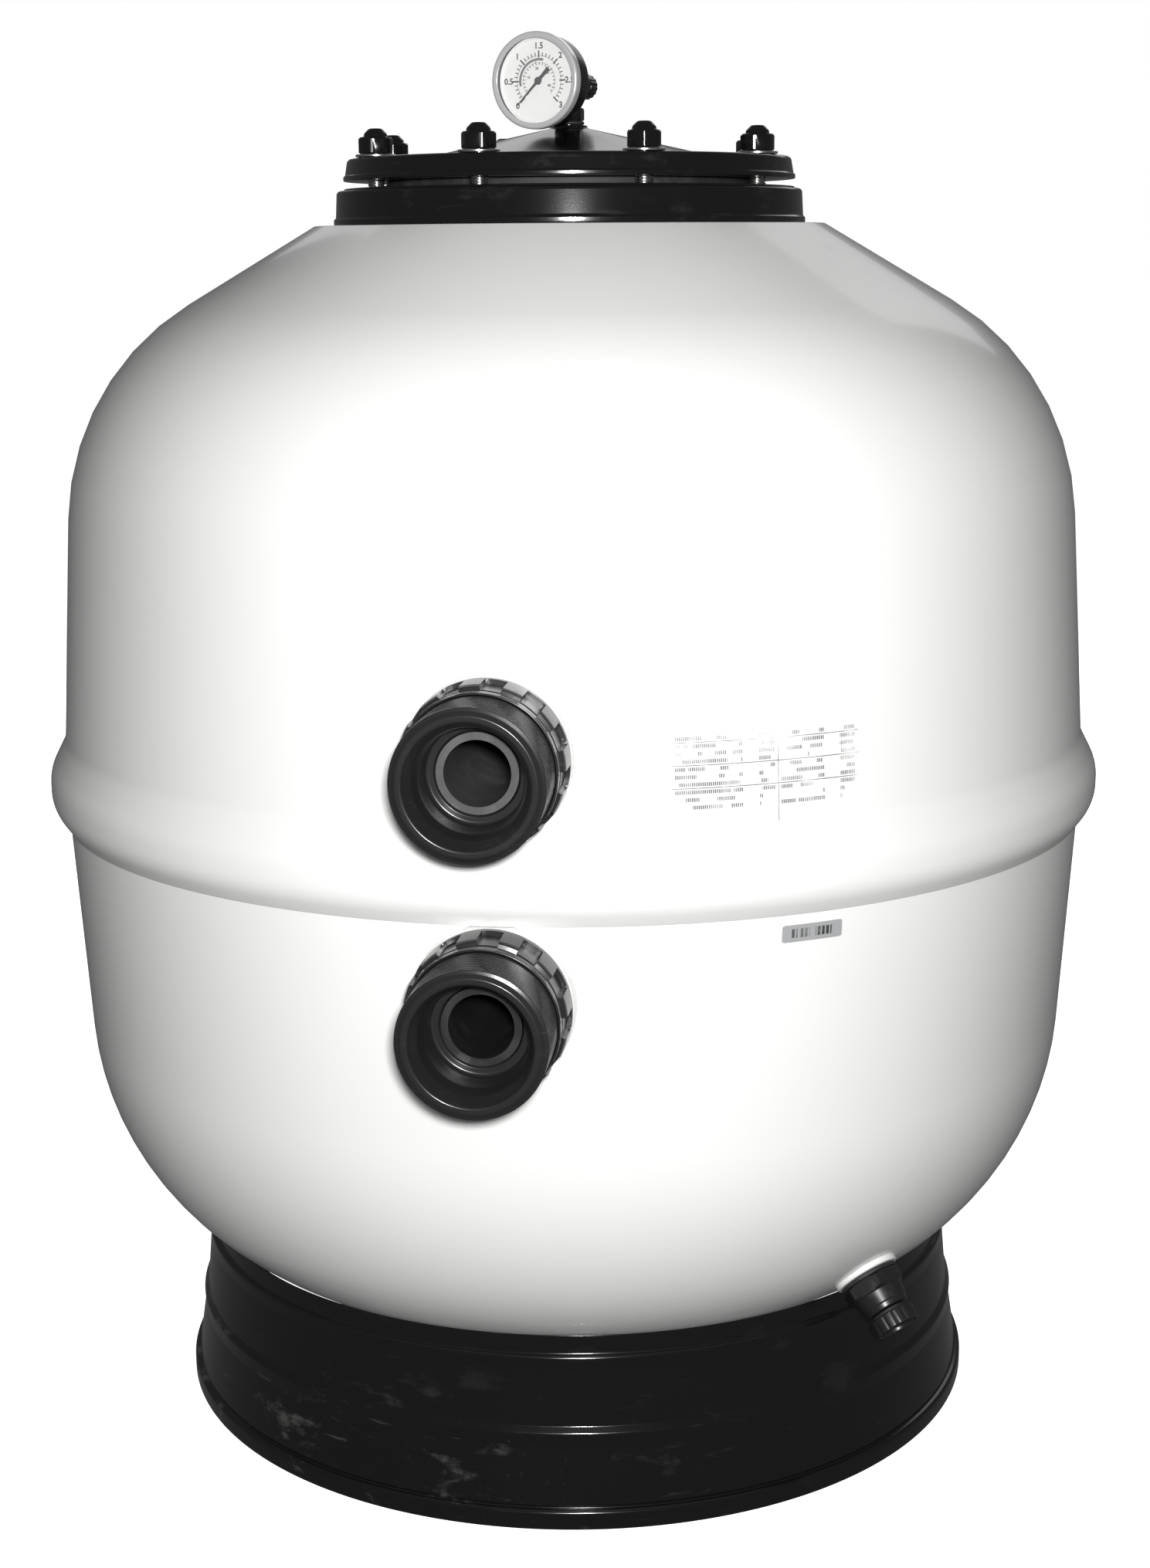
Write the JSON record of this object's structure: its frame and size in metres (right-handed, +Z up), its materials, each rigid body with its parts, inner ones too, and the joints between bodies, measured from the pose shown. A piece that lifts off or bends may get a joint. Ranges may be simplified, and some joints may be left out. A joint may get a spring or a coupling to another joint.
{
  "type": "sand filter tank",
  "caption": "Side-mount pool sand filter tank: two white shells on a black skirt, bolted lid with pressure gauge and purge screw, two threaded side ports and a drain.",
  "frame": {"origin": "middle of the overall footprint on the floor; the tank's own axis is 28.75 mm behind it", "axes": "+Z up along the tank, -Y the way both side ports point, +X towards the drain's side"},
  "size_m": [0.625, 0.6826, 0.805],
  "materials": {
    "shell": "gloss white moulded shell",
    "base_plastic": "satin black moulding, scuffed and dusty near the floor",
    "fitting_plastic": "semi-gloss black moulding",
    "nut_plastic": "gloss black capped nut",
    "port_plastic": "gloss black threaded moulding",
    "drain_plastic": "semi-gloss black moulding",
    "inner_plastic": "matt black moulding",
    "pipe_grey": "matt grey pipe",
    "seal_rubber": "matt black seal",
    "stud_steel": "bright stainless steel",
    "gauge_case_black": "black enamel",
    "gauge_chrome": "polished chrome",
    "gauge_lens_clear": "clear flat lens",
    "gauge_dial_white": "matt white dial with black scales",
    "gauge_pointer_black": "matt black pointer",
    "gauge_brass": "plain brass",
    "label_film": "printed film, satin"
  },
  "bodies": {
    "tank": {"base_skirt": "base_plastic", "tank_lower_shell": "shell", "tank_upper_shell": "shell", "neck_ring": "fitting_plastic", "lid_gasket": "seal_rubber", "lid_stud_1": "stud_steel", "lid_stud_2": "stud_steel", "lid_stud_3": "stud_steel", "lid_stud_4": "stud_steel", "lid_stud_5": "stud_steel", "lid_stud_6": "stud_steel", "lid_stud_7": "stud_steel", "lid_stud_8": "stud_steel", "upper_port_body": "port_plastic", "upper_port_gasket": "seal_rubber", "upper_lock_ring": "port_plastic", "lower_port_body": "port_plastic", "lower_port_gasket": "seal_rubber", "lower_lock_ring": "port_plastic", "drain_body": "drain_plastic", "drain_gasket": "seal_rubber", "drain_strainer": "inner_plastic", "inlet_pipe": "pipe_grey", "diffuser": "inner_plastic", "outlet_pipe": "pipe_grey", "collector_hub": "inner_plastic", "collector_lateral_1": "inner_plastic", "collector_lateral_2": "inner_plastic", "collector_lateral_3": "inner_plastic", "collector_lateral_4": "inner_plastic", "collector_lateral_5": "inner_plastic", "collector_lateral_6": "inner_plastic", "collector_lateral_7": "inner_plastic", "collector_lateral_8": "inner_plastic", "data_label": "label_film", "serial_label": "label_film"},
    "lid_assembly": {"lid": "fitting_plastic", "tee_fitting": "fitting_plastic", "tee_o_ring": "seal_rubber", "gauge_case": "gauge_case_black", "gauge_bezel": "gauge_chrome", "gauge_lens": "gauge_lens_clear", "gauge_dial": "gauge_dial_white", "bourdon_tube": "gauge_brass", "gauge_socket": "gauge_brass"},
    "nut_1": {"cap_nut_1": "nut_plastic"},
    "nut_2": {"cap_nut_2": "nut_plastic"},
    "nut_3": {"cap_nut_3": "nut_plastic"},
    "nut_4": {"cap_nut_4": "nut_plastic"},
    "nut_5": {"cap_nut_5": "nut_plastic"},
    "nut_6": {"cap_nut_6": "nut_plastic"},
    "nut_7": {"cap_nut_7": "nut_plastic"},
    "nut_8": {"cap_nut_8": "nut_plastic"},
    "purge_seal": {"purge_o_ring": "seal_rubber"},
    "purge_screw": {"purge_knob": "fitting_plastic"},
    "drain_seal": {"drain_plug_o_ring": "seal_rubber"},
    "drain_screw": {"drain_plug": "drain_plastic"},
    "gauge_sector": {"sector_gear": "gauge_brass"},
    "gauge_hand": {"gauge_pointer": "gauge_pointer_black", "pointer_pinion": "gauge_brass"}
  },
  "joints": [
    {"name": "lid_lift", "type": "slide", "parent": "tank", "child": "lid_assembly", "axis": [0, 0, 1], "range_m": [0, 0.15]},
    {"name": "nut_1_turn", "type": "hinge", "parent": "lid_assembly", "child": "nut_1", "pos_m": [0.05446, -0.07367, 0.745], "axis": [0, 0, 1], "continuous": true},
    {"name": "nut_2_turn", "type": "hinge", "parent": "lid_assembly", "child": "nut_2", "pos_m": [0.11093, -0.00517, 0.745], "axis": [0, 0, 1], "continuous": true},
    {"name": "nut_3_turn", "type": "hinge", "parent": "lid_assembly", "child": "nut_3", "pos_m": [0.10242, 0.08321, 0.745], "axis": [0, 0, 1], "continuous": true},
    {"name": "nut_4_turn", "type": "hinge", "parent": "lid_assembly", "child": "nut_4", "pos_m": [0.03392, 0.13968, 0.745], "axis": [0, 0, 1], "continuous": true},
    {"name": "nut_5_turn", "type": "hinge", "parent": "lid_assembly", "child": "nut_5", "pos_m": [-0.05446, 0.13117, 0.745], "axis": [0, 0, 1], "continuous": true},
    {"name": "nut_6_turn", "type": "hinge", "parent": "lid_assembly", "child": "nut_6", "pos_m": [-0.11093, 0.06266, 0.745], "axis": [0, 0, 1], "continuous": true},
    {"name": "nut_7_turn", "type": "hinge", "parent": "lid_assembly", "child": "nut_7", "pos_m": [-0.10242, -0.02571, 0.745], "axis": [0, 0, 1], "continuous": true},
    {"name": "nut_8_turn", "type": "hinge", "parent": "lid_assembly", "child": "nut_8", "pos_m": [-0.03392, -0.08218, 0.745], "axis": [0, 0, 1], "continuous": true},
    {"name": "purge_travel", "type": "slide", "parent": "lid_assembly", "child": "purge_seal", "axis": [0.2974, 0.9548, 0], "range_m": [0, 0.003]},
    {"name": "purge_turn", "type": "hinge", "parent": "purge_seal", "child": "purge_screw", "pos_m": [0.00535, 0.04594, 0.77849], "axis": [0.2974, 0.9548, 0], "range_deg": [0, 720]},
    {"name": "drain_travel", "type": "slide", "parent": "tank", "child": "drain_seal", "axis": [0.5337, -0.4639, -0.7071], "range_m": [0, 0.006]},
    {"name": "drain_turn", "type": "hinge", "parent": "drain_seal", "child": "drain_screw", "pos_m": [0.20009, -0.14518, 0.10522], "axis": [0.5337, -0.4639, -0.7071], "range_deg": [0, 1080]},
    {"name": "sector_swing", "type": "hinge", "parent": "lid_assembly", "child": "gauge_sector", "pos_m": [-0.01423, 0.00071, 0.7694], "axis": [0.2974, 0.9548, 0], "range_deg": [-45, 0], "stiffness_Nm_per_rad": 0.0005},
    {"name": "pointer_turn", "type": "hinge", "parent": "lid_assembly", "child": "gauge_hand", "pos_m": [-0.01189, -0.00944, 0.77849], "axis": [0.2974, 0.9548, 0], "range_deg": [0, 270]}
  ],
  "couplings": [
    {"joint": "purge_turn", "follows": "purge_travel", "rad_per_m": 4188.8},
    {"joint": "drain_turn", "follows": "drain_travel", "rad_per_m": 3141.6},
    {"joint": "pointer_turn", "follows": "sector_swing", "ratio": -6}
  ]
}
